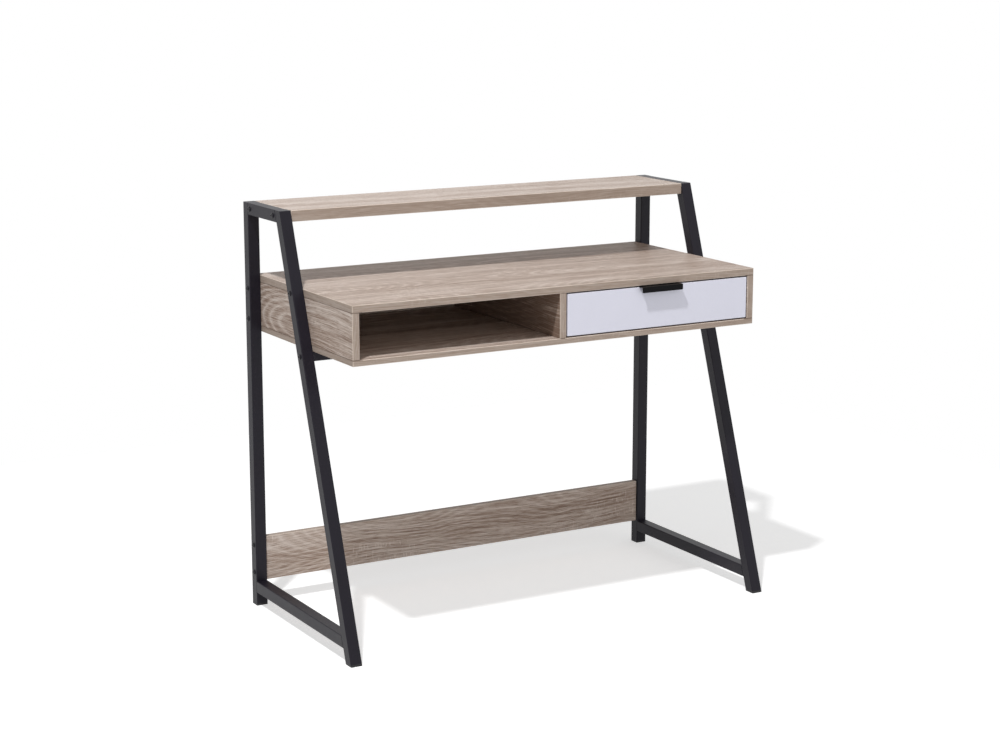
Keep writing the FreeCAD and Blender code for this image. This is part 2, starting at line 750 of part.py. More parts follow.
def flush_screw(name, start, along, thickness, length):
    """A countersunk screw whose head fills a sheet's hole and whose shank goes on beyond it."""
    return joined(name, [
        cone(f"{name}_head", "screw_head_radius", "screw_radius", thickness, start, along),
        rod(f"{name}_shank", "screw_radius", length, start, along),
    ])


def flush_hole(name, start, along, thickness):
    """The countersunk hole in a sheet for such a screw."""
    wide = "screw_head_radius + screw_clearance"
    narrow = "screw_radius + screw_clearance"
    return cone(name, wide, narrow, thickness, start, along)


def make_cabinet_runner(side):
    """Channel screwed to the bay's wall, with a floor, a roof and a stop at its rear end."""
    name = f"{side}_cabinet_runner"
    towards, back = ways(side)
    sheet_z = "runner_sheet"
    profile = [
        ("0", "0"),
        ("runner_floor_width", "0"),
        ("runner_floor_width", sheet_z),
        (sheet_z, sheet_z),
        (sheet_z, "runner_height - runner_sheet"),
        ("runner_roof_width", "runner_height - runner_sheet"),
        ("runner_roof_width", "runner_height"),
        ("0", "runner_height"),
    ]
    if side == "right":
        profile = [(f"-({across})", up) for across, up in reversed(profile)]
    channel = pressed(
        f"{name}_channel", "XZ_Plane", profile, "drawer_length",
        (wall_x(side, "0"), "runner_y", "runner_z"), backwards=True,
    )
    stop_width = "runner_roof_width"
    stop_x = wall_x(side, "0") if side == "left" else wall_x(side, stop_width)
    stop = block(
        f"{name}_stop", (stop_width, "runner_sheet", "runner_stop_height"),
        (stop_x, "runner_end - runner_sheet", "runner_z"),
    )
    holes = []
    for number, y in enumerate(RUNNER_SCREWS):
        start = (wall_x(side, "runner_sheet"), y, CABINET_SCREW_Z)
        holes.append(flush_hole(f"{name}_hole_{number}", start, back, "runner_sheet"))
    start = (wall_x(side, "runner_sheet + overrun"), "cabinet_axle_y", "axle_z")
    radius = "axle_radius + axle_clearance"
    holes.append(rod(f"{name}_axle_hole", radius, "runner_sheet + 2 * overrun", start, back))
    keep(name, cut(name, joined(f"{name}_whole", [channel, stop]), holes))


def make_drawer_runner(side):
    """Track screwed to the drawer's side, with a top flange to roll on and a foot under the side."""
    name = f"{side}_drawer_runner"
    towards, back = ways(side)
    web = "runner_space - runner_sheet"
    profile = [
        ("runner_space - track_width", "track_height - runner_sheet"),
        (web, "track_height - runner_sheet"),
        (web, "track_foot_height"),
        ("runner_space + track_foot_width", "track_foot_height"),
        ("runner_space + track_foot_width", "track_foot_height + runner_sheet"),
        ("runner_space", "track_foot_height + runner_sheet"),
        ("runner_space", "track_height"),
        ("runner_space - track_width", "track_height"),
    ]
    if side == "right":
        profile = [(f"-({across})", up) for across, up in reversed(profile)]
    track = pressed(
        f"{name}_track", "XZ_Plane", profile, "track_length",
        (wall_x(side, "0"), "drawer_y", "runner_z"), backwards=True,
    )
    holes = []
    for number, y in enumerate(RUNNER_SCREWS):
        start = (wall_x(side, web), y, TRACK_SCREW_Z)
        holes.append(flush_hole(f"{name}_hole_{number}", start, towards, "runner_sheet"))
    start = (wall_x(side, f"{web} - overrun"), "drawer_axle_y", "axle_z")
    radius = "axle_radius + axle_clearance"
    holes.append(rod(f"{name}_axle_hole", radius, "runner_sheet + 2 * overrun", start, towards))
    keep(name, cut(name, track, holes))


def make_rollers(side):
    """One roller on the cabinet's member at the front, one on the drawer's member at the rear."""
    towards, back = ways(side)
    for member, y in (("cabinet", "cabinet_axle_y"), ("drawer", "drawer_axle_y")):
        name = f"{side}_{member}_roller"
        start = (wall_x(side, "roller_offset"), y, "axle_z")
        wheel = rod(f"{name}_wheel", "roller_radius", "roller_width", start, towards)
        start = (wall_x(side, "roller_offset - overrun"), y, "axle_z")
        radius = "axle_radius + axle_clearance"
        bore = rod(f"{name}_bore", radius, "roller_width + 2 * overrun", start, towards)
        keep(name, cut(name, wheel, [bore]))


def make_axles(member):
    """Riveted axle pins with a head outside the roller."""
    pins = []
    for side in ("left", "right"):
        towards, back = ways(side)
        name = f"{side}_{member}_axle"
        if member == "cabinet":
            y = "cabinet_axle_y"
            start = (wall_x(side, "0"), y, "axle_z")
            pin = rod(f"{name}_pin", "axle_radius", "axle_length", start, towards)
            head_start = (wall_x(side, "axle_length"), y, "axle_z")
            head = rod(f"{name}_head", "axle_head_radius", "axle_head", head_start, towards)
        else:
            y = "drawer_axle_y"
            reach = "runner_space - roller_offset + roller_gap / 2"
            start = (wall_x(side, "runner_space"), y, "axle_z")
            pin = rod(f"{name}_pin", "axle_radius", reach, start, back)
            head_start = (wall_x(side, "roller_offset - roller_gap / 2"), y, "axle_z")
            head = rod(f"{name}_head", "axle_head_radius", "roller_gap", head_start, back)
        pins.append(joined(name, [pin, head]))
    keep(f"{member}_roller_axles", group(f"{member}_roller_axles", pins))


def make_runner_screws():
    """Screws of both runner members."""
    cabinet = []
    drawer = []
    for side in ("left", "right"):
        towards, back = ways(side)
        for number, y in enumerate(RUNNER_SCREWS):
            start = (wall_x(side, "runner_sheet"), y, CABINET_SCREW_Z)
            name = f"{side}_cabinet_screw_{number}"
            cabinet.append(flush_screw(name, start, back, "runner_sheet", "screw_length + runner_sheet"))
            start = (wall_x(side, "runner_space - runner_sheet"), y, TRACK_SCREW_Z)
            name = f"{side}_track_screw_{number}"
            drawer.append(flush_screw(name, start, towards, "runner_sheet", "track_screw_length"))
    keep("cabinet_runner_screws", group("cabinet_runner_screws", cabinet))
    keep("drawer_runner_screws", group("drawer_runner_screws", drawer))


DRAWER_SIDES = (("left", "drawer_x"), ("right", "drawer_right - drawer_wall"))
BACK_SCREW_HEIGHTS = ("drawer_floor_top + back_screw_end", "drawer_top - back_screw_end")


def make_drawer_sides():
    """Two sides with a groove for the bottom, bores for the cam fittings and for the back's screws."""
    for side, low in DRAWER_SIDES:
        name = f"drawer_{side}_side"
        towards, back = ways(side)
        inner = "drawer_inside_x" if side == "left" else "drawer_right - drawer_wall"
        out = "1" if side == "left" else "-1"
        size = ("drawer_wall", "drawer_length", "drawer_side_height")
        blank = block(f"{name}_blank", size, (low, "drawer_y", "drawer_z"))
        groove_x = f"{inner} - groove_depth" if side == "left" else f"{inner} - overrun"
        groove_size = ("groove_depth + overrun", "drawer_length + 2 * overrun", "groove_height")
        groove_corner = (groove_x, "drawer_y - overrun", "drawer_floor - groove_clearance")
        groove = block(f"{name}_groove", groove_size, groove_corner)
        pocket_start = (f"{inner} + {out} * overrun", "drawer_cam_y", "drawer_cam_z")
        pocket_radius = "drawer_cam_radius + cam_clearance"
        pocket_length = "drawer_cam_depth + cam_clearance + overrun"
        pocket = rod(f"{name}_pocket", pocket_radius, pocket_length, pocket_start, back)
        middle = f"{low} + drawer_wall / 2"
        channel_start = (middle, "drawer_y - overrun", "drawer_cam_z")
        channel_radius = "cam_bolt_radius + cam_clearance"
        channel_length = "drawer_cam_edge + overrun"
        channel = rod(f"{name}_channel", channel_radius, channel_length, channel_start, "+Y")
        tools = [groove, pocket, channel]
        for number, z in enumerate(BACK_SCREW_HEIGHTS):
            outer = "drawer_x" if side == "left" else "drawer_right"
            start = (outer, "back_screw_y", z)
            wide = "back_screw_head_radius + screw_clearance"
            narrow = "back_screw_radius + screw_clearance"
            tools.append(cone(f"{name}_sink_{number}", wide, narrow, "back_screw_sink", start, towards))
            tools.append(rod(f"{name}_through_{number}", narrow, "drawer_wall + overrun", start, towards))
        for number, y in enumerate(RUNNER_SCREWS):
            start = (wall_x(side, "runner_space - runner_sheet"), y, TRACK_SCREW_Z)
            radius = "screw_radius + screw_clearance"
            length = "track_screw_length + screw_clearance"
            tools.append(rod(f"{name}_pilot_{number}", radius, length, start, towards))
        keep(name, cut(name, blank, tools))


def make_drawer_fittings():
    """Cam fittings that hold the front, and the screws that hold the back."""
    locks = []
    bolts = []
    screws = []
    for side, low in DRAWER_SIDES:
        towards, back = ways(side)
        inner = "drawer_inside_x" if side == "left" else "drawer_right - drawer_wall"
        out = "1" if side == "left" else "-1"
        middle = f"{low} + drawer_wall / 2"
        name = f"drawer_{side}"
        start = (f"{inner} - {out} * cam_recess", "drawer_cam_y", "drawer_cam_z")
        body = rod(f"{name}_cam_body", "drawer_cam_radius", "drawer_cam_depth - cam_recess", start, back)
        throat_start = (middle, "drawer_cam_y - drawer_cam_radius - overrun", "drawer_cam_z")
        throat_length = "drawer_cam_radius + cam_bolt_radius + overrun"
        throat = rod(f"{name}_throat", "cam_bolt_radius + cam_clearance", throat_length, throat_start, "+Y")
        locks.append(cut(f"{name}_cam", body, [throat]))
        seat = (middle, "drawer_y", "drawer_cam_z")
        bolts.append(joined(f"{name}_cam_bolt", [
            rod(f"{name}_cam_shank", "cam_bolt_radius", "drawer_cam_edge", seat, "+Y"),
            rod(f"{name}_cam_thread", "cam_thread_radius", "drawer_bolt_into_front", seat, "-Y"),
        ]))
        for number, z in enumerate(BACK_SCREW_HEIGHTS):
            outer = "drawer_x" if side == "left" else "drawer_right"
            start = (outer, "back_screw_y", z)
            wide = "back_screw_head_radius"
            narrow = "back_screw_radius"
            screws.append(joined(f"{name}_back_screw_{number}", [
                cone(f"{name}_back_head_{number}", wide, narrow, "back_screw_sink", start, towards),
                rod(f"{name}_back_shank_{number}", narrow, "back_screw_length", start, towards),
            ]))
    keep("drawer_cam_locks", group("drawer_cam_locks", locks))
    keep("drawer_cam_bolts", group("drawer_cam_bolts", bolts))
    keep("drawer_back_screws", group("drawer_back_screws", screws))


def make_drawer_panels():
    """Front, back and bottom of the drawer."""
    width = "bay_right - bay_left - 2 * drawer_gap"
    size = (width, "drawer_front_thickness", "bay_height - 2 * drawer_gap")
    blank = block("drawer_front_blank", size, ("bay_left + drawer_gap", "box_y", "bay_bottom + drawer_gap"))
    size = ("drawer_inside + 2 * groove_depth", "groove_depth + overrun", "groove_height")
    groove_y = "drawer_y - groove_depth"
    corner = ("drawer_inside_x - groove_depth", groove_y, "drawer_floor - groove_clearance")
    tools = [block("drawer_front_groove", size, corner)]
    for side, low in DRAWER_SIDES:
        start = (f"{low} + drawer_wall / 2", "drawer_y + overrun", "drawer_cam_z")
        radius = "cam_thread_radius + sleeve_clearance"
        length = "drawer_bolt_into_front + sleeve_clearance + overrun"
        tools.append(rod(f"drawer_front_{side}_bore", radius, length, start, "-Y"))
    for number, x in enumerate(PULL_SCREWS):
        start = (x, "drawer_y + overrun", "pull_screw_z")
        radius = "screw_radius + screw_clearance"
        length = "pull_screw_length + screw_clearance + overrun"
        tools.append(rod(f"drawer_front_pilot_{number}", radius, length, start, "-Y"))
    keep("drawer_front", cut("drawer_front", blank, tools))

    size = ("drawer_inside", "drawer_wall", "drawer_top - drawer_floor_top")
    blank = block("drawer_back_blank", size, ("drawer_inside_x", "drawer_back_y", "drawer_floor_top"))
    tools = []
    for side, low in DRAWER_SIDES:
        towards, back = ways(side)
        for number, z in enumerate(BACK_SCREW_HEIGHTS):
            outer = "drawer_x" if side == "left" else "drawer_right"
            start = (outer, "back_screw_y", z)
            radius = "back_screw_radius + screw_clearance"
            length = "back_screw_length + screw_clearance"
            tools.append(rod(f"drawer_back_{side}_pilot_{number}", radius, length, start, towards))
    keep("drawer_back", cut("drawer_back", blank, tools))

    play = "groove_depth - groove_clearance"
    size = (f"drawer_inside + 2 * ({play})", f"drawer_length + {play}", "drawer_bottom_thickness")
    corner = (f"drawer_inside_x - ({play})", f"drawer_y - ({play})", "drawer_floor")
    keep("drawer_bottom", block("drawer_bottom", size, corner))


PULL_SCREWS = ("drawer_middle - pull_screw_pitch / 2", "drawer_middle + pull_screw_pitch / 2")


def round_sheet(body, name, along, low, high, radius):
    """Round the edges of a bent sheet that run along an axis between two heights."""
    doc.recompute()
    bottom = value(low)
    top = value(high)
    chosen = []
    for index, edge in enumerate(body.Shape.Edges, start=1):
        start, end = (vertex.Point for vertex in edge.Vertexes)
        run = (end - start).normalize()
        if abs(run.dot(DIRECTIONS[along])) > ALONG_SHARE and bottom < start.z < top:
            chosen.append(f"Edge{index}")
    last = body.Tip
    rounding = body.newObject("PartDesign::Fillet", name)
    rounding.Base = (last, chosen)
    bind(rounding, Radius=radius)
    body.Tip = rounding


def make_pull():
    """Bent sheet over the front's top edge: a finger lip, a plate, and a flange behind the front."""
    back_face = "pull_reach + drawer_front_thickness"
    top = "pull_flange + pull_sheet"
    profile = [
        ("0", f"{top} - pull_lip"),
        ("pull_sheet", f"{top} - pull_lip"),
        ("pull_sheet", "pull_flange"),
        (back_face, "pull_flange"),
        (back_face, "0"),
        (f"{back_face} + pull_sheet", "0"),
        (f"{back_face} + pull_sheet", top),
        ("0", top),
    ]
    corner = ("drawer_middle - pull_length / 2", "box_y - pull_reach", "front_top - pull_flange")
    bent = pressed("drawer_pull_bent", "YZ_Plane", profile, "pull_length", corner)
    plate_middle = "front_top + pull_sheet / 2"
    round_sheet(bent, "drawer_pull_bends", "+X", plate_middle, "front_top + 2 * pull_sheet", "pull_bend")
    below_flange = "front_top - pull_flange - overrun"
    below_plate = "front_top - pull_sheet"
    round_sheet(bent, "drawer_pull_corners", "+Y", below_flange, below_plate, "pull_corner")
    holes = []
    screws = []
    for number, x in enumerate(PULL_SCREWS):
        start = (x, "drawer_y + pull_sheet", "pull_screw_z")
        holes.append(flush_hole(f"drawer_pull_hole_{number}", start, "-Y", "pull_sheet"))
        length = "pull_screw_length + pull_sheet"
        screws.append(flush_screw(f"pull_screw_{number}", start, "-Y", "pull_sheet", length))
    keep("drawer_pull", cut("drawer_pull", bent, holes))
    keep("pull_screws", group("pull_screws", screws))


for side, sign, inwards in SIDES:
    make_rear_leg(side, sign, inwards)
    make_front_leg(side, sign, inwards)
    make_rail(side, sign, inwards, "top", "overall_height - tube_size", SHELF_BOLTS)
    make_rail(side, sign, inwards, "bottom", "bottom_rail_height", [])
    make_feet(side, sign)
make_cross_tube()
make_boards()
make_cam_fittings()
for label, places in (
    ("shelf", SHELF_BOLTS),
    ("desk", DESK_REAR_BOLTS + DESK_FRONT_BOLTS),
    ("stretcher", STRETCHER_BOLTS),
):
    make_bolts(f"{label}_bolts", places)
    make_sleeves(f"{label}_sleeves", places)
make_bolts("cross_tube_bolts", CROSS_BOLTS)
for side in ("left", "right"):
    make_cabinet_runner(side)
    make_drawer_runner(side)
    make_rollers(side)
for member in ("cabinet", "drawer"):
    make_axles(member)
make_runner_screws()
make_drawer_panels()
make_drawer_sides()
make_drawer_fittings()
make_pull()
doc.recompute()

for thing in doc.Objects:
    if "Invalid" in thing.State or "Error" in thing.State:
        raise RuntimeError(f"{thing.Label} failed: {thing.State}")
for node in nodes:
    if node.Shape.isNull() or not node.Shape.isValid() or not node.Shape.Solids:
        raise RuntimeError(f"{node.Label} has no sound shape")

os.makedirs("parts", exist_ok=True)
for node in nodes:
    node.Shape.exportStep(f"parts/{node.Label}.step")
    print(f"{node.Label}: {len(node.Shape.Solids)} solids, {node.Shape.Volume / 1000:.1f} cm3")
print(f"{len(nodes)} sub-parts")
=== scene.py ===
# %% [markdown]
# # A compact desk, dressed for its portrait
# The desk is two welded frames of black square tube, a wooden box with an open bay and a white
# drawer, a raised shelf, and a board low down between the rear legs. The solids of all these come
# from CAD and stay where they are. This lesson gives them boards with softened edges and running
# grain, paint with the fine skin of powder coat, a floor, light, and a camera.

# %% Load the frame
import json
import math

import bpy
import numpy as np
from mathutils import Matrix, Vector

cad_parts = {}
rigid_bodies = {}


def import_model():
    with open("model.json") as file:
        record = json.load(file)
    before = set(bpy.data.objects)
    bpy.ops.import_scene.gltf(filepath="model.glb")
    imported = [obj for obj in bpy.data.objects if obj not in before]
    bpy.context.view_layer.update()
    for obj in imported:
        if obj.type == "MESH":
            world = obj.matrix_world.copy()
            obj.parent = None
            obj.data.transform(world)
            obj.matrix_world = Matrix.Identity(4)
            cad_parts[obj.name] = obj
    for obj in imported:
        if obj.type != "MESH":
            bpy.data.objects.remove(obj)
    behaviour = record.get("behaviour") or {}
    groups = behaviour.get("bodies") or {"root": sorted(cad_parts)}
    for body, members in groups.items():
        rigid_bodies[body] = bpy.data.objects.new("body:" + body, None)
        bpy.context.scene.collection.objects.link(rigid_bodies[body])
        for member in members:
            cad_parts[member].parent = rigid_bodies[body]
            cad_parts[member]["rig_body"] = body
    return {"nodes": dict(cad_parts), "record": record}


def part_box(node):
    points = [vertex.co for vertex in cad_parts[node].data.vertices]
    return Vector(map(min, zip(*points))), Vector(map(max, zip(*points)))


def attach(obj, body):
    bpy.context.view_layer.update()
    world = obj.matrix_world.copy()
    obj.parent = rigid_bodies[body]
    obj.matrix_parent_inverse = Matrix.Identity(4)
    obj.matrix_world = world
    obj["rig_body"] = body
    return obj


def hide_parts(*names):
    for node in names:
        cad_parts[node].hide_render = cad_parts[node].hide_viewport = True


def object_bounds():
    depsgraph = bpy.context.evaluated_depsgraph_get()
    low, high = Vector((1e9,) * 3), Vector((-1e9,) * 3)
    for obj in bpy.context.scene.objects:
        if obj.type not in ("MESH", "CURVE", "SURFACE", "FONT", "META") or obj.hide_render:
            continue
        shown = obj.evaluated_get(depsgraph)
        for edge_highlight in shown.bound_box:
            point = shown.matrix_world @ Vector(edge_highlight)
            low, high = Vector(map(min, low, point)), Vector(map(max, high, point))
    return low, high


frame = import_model()
cad_box = [list(edge_highlight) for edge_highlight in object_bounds()]
nodes = frame["nodes"]
slot_of = {part["node"]: part["material_slot"] for part in frame["record"]["subparts"]}
print("nodes", len(nodes), "box", cad_box)

# %% [markdown]
# ## Sums in a shader
# A node tree is a drawing of a formula. Wiring dozens of Math nodes by hand hides that formula, so
# one small class wraps a socket: adding or multiplying two wires adds the Math node for it, and
# every other node comes from one method. A finish can then be read as the sum that it is.


# %% A wire that can be added and multiplied
class Wire:
    """An output socket of a node tree, ready for arithmetic; without a socket, just the tree."""

    def __init__(self, tree, socket=None):
        self.tree = tree
        self.socket = socket

    def node(self, kind, settings=None, inputs=None, output=0):
        """Add a node: first its settings, then the values or wires of its sockets."""
        made = self.tree.nodes.new(kind)
        for key, setting in (settings or {}).items():
            setattr(made, key, setting)
        for key, given in (inputs or {}).items():
            if isinstance(given, Wire):
                self.tree.links.new(given.socket, made.inputs[key])
            else:
                made.inputs[key].default_value = given
        return Wire(self.tree, made.outputs[output])

    def math(self, operation, first, second=0.0):
        return self.node("ShaderNodeMath", {"operation": operation}, {0: first, 1: second})

    def __add__(self, other):
        return self.math("ADD", self, other)

    def __sub__(self, other):
        return self.math("SUBTRACT", self, other)

    def __rsub__(self, other):
        return self.math("SUBTRACT", other, self)

    def __mul__(self, other):
        return self.math("MULTIPLY", self, other)

    def __truediv__(self, other):
        return self.math("DIVIDE", self, other)

    def __rtruediv__(self, other):
        return self.math("DIVIDE", other, self)

    __radd__ = __add__
    __rmul__ = __mul__


print("operators", [name for name in vars(Wire) if name.startswith("__r")])


# %% Colours, ramps and materials
def blended(wire, share, first, second):
    """Two colours in one: none of the second where share is 0, all of it where share is 1."""
    settings = {"data_type": "RGBA", "clamp_factor": True}
    return wire.node("ShaderNodeMix", settings, {0: share, 6: first, 7: second}, 2)


def ramped(wire, low, high):
    """A wire's values from low to high, spread over 0 to 1 and held there."""
    inputs = {"Value": wire, "From Min": low, "From Max": high}
    return wire.node("ShaderNodeMapRange", {"clamp": True}, inputs)


def rgba(colour, scale=1.0):
    return (*(min(1.0, part * scale) for part in colour), 1.0)


def new_finish(name, constants):
    """A material with its shader's constant sockets set; gives the material, a wire and the shader."""
    material = bpy.data.materials.new(name)
    material.use_nodes = True
    shader = material.node_tree.nodes["Principled BSDF"]
    for key, number in constants.items():
        shader.inputs[key].default_value = number
    return material, Wire(material.node_tree), shader


def feed(shader, **wires):
    """Link wires to a shader's sockets; an underscore stands for a blank in a socket's name."""
    for key, wire in wires.items():
        wire.tree.links.new(wire.socket, shader.inputs[key.replace("_", " ")])


def bumped(wire, height, depth, strength):
    """The shading normal of a relief of so many metres."""
    inputs = {"Strength": strength, "Distance": depth, "Height": height}
    return wire.node("ShaderNodeBump", None, inputs, "Normal")


print("slots to dress", sorted(set(slot_of.values())))

# %% [markdown]
# ## Oak decor
# The boards are chipboard with a printed and embossed oak skin. Its figure has a few layers: pale
# and dark leaves that run with the grain, arches where growth rings run out of the face, lines and
# hair-fine fibres, short dark pores, and patches of pale saw marks across the grain. Rings cut by
# a plane give real arches, so the formula is the distance from a heart line that runs under the
# face, nearer here and deeper there. All of it reads the boards' own UV map, in metres, with u
# along the grain. No two boards in a stack match, so each one also has a shade of its own.
# On some boards the shade is also painted light and shade: the shelf and the worktop are paler, partly
# a painted sheen, the worktop grows darker to the right as a painted fall-off of the lamp, the box's
# back is paler as painted light in the bay, and the divider darker as painted shade there.

# %% Oak colours and layers
OAK_PALE = (0.712, 0.622, 0.562)
OAK_MIDDLE = (0.468, 0.362, 0.298)
OAK_DARK = (0.238, 0.161, 0.124)
TONE_DARK, TONE_MIDDLE, TONE_PALE = 0.1, 0.5, 0.9
BASE_TONE = 0.55
EDGE_TINTS_AND_PAINTED_LIGHT = {
    # mark on the faces: colour, and its share where the mark is full
    "band": ((0.365, 0.288, 0.235), 0.7),
    # painted highlight: a paler tint along free rounded edges
    "edge_highlight": ((0.74, 0.64, 0.55), 0.7),
    # painted shade: a dark tint in the groove where a rounded edge meets another board
    "seam_shade": ((0.10, 0.07, 0.05), 0.5),
}
LAYERS = {
    # layer: turns to the metre along the grain and across it, weight in the tone
    "leaves": (0.9, 24, 0.85),
    "lines": (2.5, 150, 0.6),
    "fibres": (8, 720, 1.9),
    "hairs": (40, 1500, 1.1),
}
DARK_MARKS = {
    # mark: turns along and across, the noise at which it begins and is full, weight in the tone
    "ticks": (45, 760, 0.56, 0.7, 0.28),
    "pores": (38, 1000, 0.63, 0.72, 0.25),
}
SWAYS = (
    # turns along and across, and how far the grain is moved aside, in metres
    (1.3, 5, 0.07),
    (6, 24, 0.008),
)
print("layers", list(LAYERS) + list(DARK_MARKS))

# %% Oak finish
NOISE_MEAN = 0.5
LEAF_WIDTH = 0.17
RING_WIDTH = 0.0036
RING_FRAY = 0.003
RING_MEAN = 0.33
RING_WEIGHT = 0.6
HEART_TURNS = (1.7, 1.2)
HEART_NEAREST = 0.2
HEART_DEPTH = 0.24
SAW_TURNS = (250, 60)
SAW_RANGE = (0.58, 0.72)
SAW_WEIGHT = 0.3
PATCH_TURNS = (4, 9)
PATCH_RANGE = (0.5, 0.6)
OAK_IOR = 1.27
OAK_ROUGHNESS = 0.48
PORE_ROUGHNESS = 0.15
TICK_ROUGHNESS = 0.06
FIBRE_ROUGHNESS = 0.12
PORE_SINK = 0.5
EMBOSS_DEPTH = 0.00012
EMBOSS_STRENGTH = 0.5


def oak_finish():
    """Tone is the board's shade plus the figure's layers; it picks a colour from dark to pale."""
    material, wire, shader = new_finish("oak_decor", {"IOR": OAK_IOR})
    uv = wire.node("ShaderNodeTexCoord", output="UV")

    def streaks(vector, along, across, detail=2.0):
        """Noise with so many turns to the metre along and across the grain."""
        inputs = {"Vector": vector, "Scale": (along, across, 1)}
        stretched = wire.node("ShaderNodeMapping", None, inputs)
        inputs = {"Vector": stretched, "Scale": 1.0, "Detail": detail}
        return wire.node("ShaderNodeTexNoise", None, inputs)

    def painted(attribute):
        """A number that the mesh keeps on each face."""
        return wire.node("ShaderNodeAttribute", {"attribute_name": attribute}, output="Fac")

    along = wire.node("ShaderNodeSeparateXYZ", None, {"Vector": uv}, "X")
    waved = wire.node("ShaderNodeSeparateXYZ", None, {"Vector": uv}, "Y")
    for turns_along, turns_across, reach in SWAYS:
        waved = waved + (streaks(uv, turns_along, turns_across) - NOISE_MEAN) * reach
    grain = wire.node("ShaderNodeCombineXYZ", None, {"X": along, "Y": waved})
    layer, mark = {}, {}
    for name, (turns_along, turns_across, weight) in LAYERS.items():
        layer[name] = streaks(grain, turns_along, turns_across) - NOISE_MEAN
    for name, (turns_along, turns_across, begins, full, weight) in DARK_MARKS.items():
        mark[name] = ramped(streaks(grain, turns_along, turns_across, 1.0), begins, full)
    patches = ramped(streaks(uv, *PATCH_TURNS, 1.0), *PATCH_RANGE)
    saws = ramped(streaks(uv, *SAW_TURNS, 1.0), *SAW_RANGE) * patches

    aside = (wire.math("FRACT", waved / LEAF_WIDTH) - 0.5) * LEAF_WIDTH
    under = (streaks(uv, *HEART_TURNS, 0.0) - HEART_NEAREST) * HEART_DEPTH
    distance = wire.math("SQRT", aside * aside + under * under) + layer["fibres"] * RING_FRAY
    rings = wire.math("POWER", wire.math("PINGPONG", distance / RING_WIDTH, 1.0), 2.0)

    # the board's shade: its own tone, and on some boards also painted light and shade
    tone = BASE_TONE + painted("shade") + saws * SAW_WEIGHT
    tone = tone + (rings - RING_MEAN) * painted("arch") * RING_WEIGHT
    for name, (turns_along, turns_across, weight) in LAYERS.items():
        tone = tone + layer[name] * weight
    for name, (turns_along, turns_across, begins, full, weight) in DARK_MARKS.items():
        tone = tone - mark[name] * weight

    colour = blended(wire, ramped(tone, TONE_DARK, TONE_MIDDLE), rgba(OAK_DARK), rgba(OAK_MIDDLE))
    colour = blended(wire, ramped(tone, TONE_MIDDLE, TONE_PALE), colour, rgba(OAK_PALE))
    # the edge band's own colour, then the painted highlight on free edges and the painted shade in the
    # seams
    for attribute, (tint, share) in EDGE_TINTS_AND_PAINTED_LIGHT.items():
        colour = blended(wire, painted(attribute) * share, colour, rgba(tint))
    roughness = OAK_ROUGHNESS + mark["pores"] * PORE_ROUGHNESS + mark["ticks"] * TICK_ROUGHNESS
    roughness = roughness + layer["fibres"] * FIBRE_ROUGHNESS
    relief = bumped(wire, tone - mark["pores"] * PORE_SINK, EMBOSS_DEPTH, EMBOSS_STRENGTH)
    feed(shader, Base_Color=colour, Roughness=roughness, Normal=relief)
    return material


finishes = {"oak_decor": oak_finish()}
print("oak nodes", len(finishes["oak_decor"].node_tree.nodes))

# %% [markdown]
# ## Paint, plate and plastic
# The other finishes are skins over metal, board or plastic: powder coat with its fine orange peel,
# lacquer, epoxy, zinc, black oxide, nylon. They differ in colour, gloss and the size of their
# grain, so one formula serves: a slow cloud shifts the colour and the gloss a little, and a fine
# noise makes the skin's relief. The pull is lacquered deeper than the frames, so it has its own.

# %% Skins
SKINS = {
    # slot: colour, roughness, metallic, IOR, grains to the metre, grain's depth, drift of the colour
    "black_steel": ((0.0105, 0.0088, 0.0150), 0.42, 0.0, 1.31, 700, 0.00010, 0.25),
    "white_lacquer": ((0.775, 0.775, 0.88), 0.38, 0.0, 1.5, 260, 0.00003, 0.015),
    "drawer_board": ((0.66, 0.65, 0.63), 0.5, 0.0, 1.5, 1500, 0.00004, 0.04),
    "hardboard": ((0.62, 0.60, 0.57), 0.6, 0.0, 1.5, 1800, 0.00006, 0.06),
    "white_runner": ((0.76, 0.76, 0.75), 0.42, 0.0, 1.5, 900, 0.00005, 0.03),
    "zinc_steel": ((0.62, 0.63, 0.65), 0.34, 1.0, 1.5, 1100, 0.00003, 0.12),
    "black_bolt": ((0.012, 0.011, 0.015), 0.28, 0.0, 1.45, 1400, 0.00004, 0.25),
    "roller_nylon": ((0.80, 0.80, 0.77), 0.45, 0.0, 1.5, 600, 0.00003, 0.03),
    "black_plastic": ((0.016, 0.016, 0.017), 0.55, 0.0, 1.45, 1600, 0.00008, 0.2),
    "beech": ((0.62, 0.45, 0.29), 0.6, 0.0, 1.5, 900, 0.00010, 0.18),
    "pull_lacquer": ((0.0035, 0.0032, 0.004), 0.36, 0.0, 1.2, 1200, 0.00004, 0.2),
}
CLOUDS_TO_THE_METRE = 14
CLOUD_DETAIL = 4.0
PEEL_DETAIL = 2.0
PEEL_SHARE = 0.3
DRIFT_RANGE = (0.25, 0.75)
CLOUD_GLOSS = 0.12
PEEL_GLOSS = 0.1
PEEL_STRENGTH = 0.6


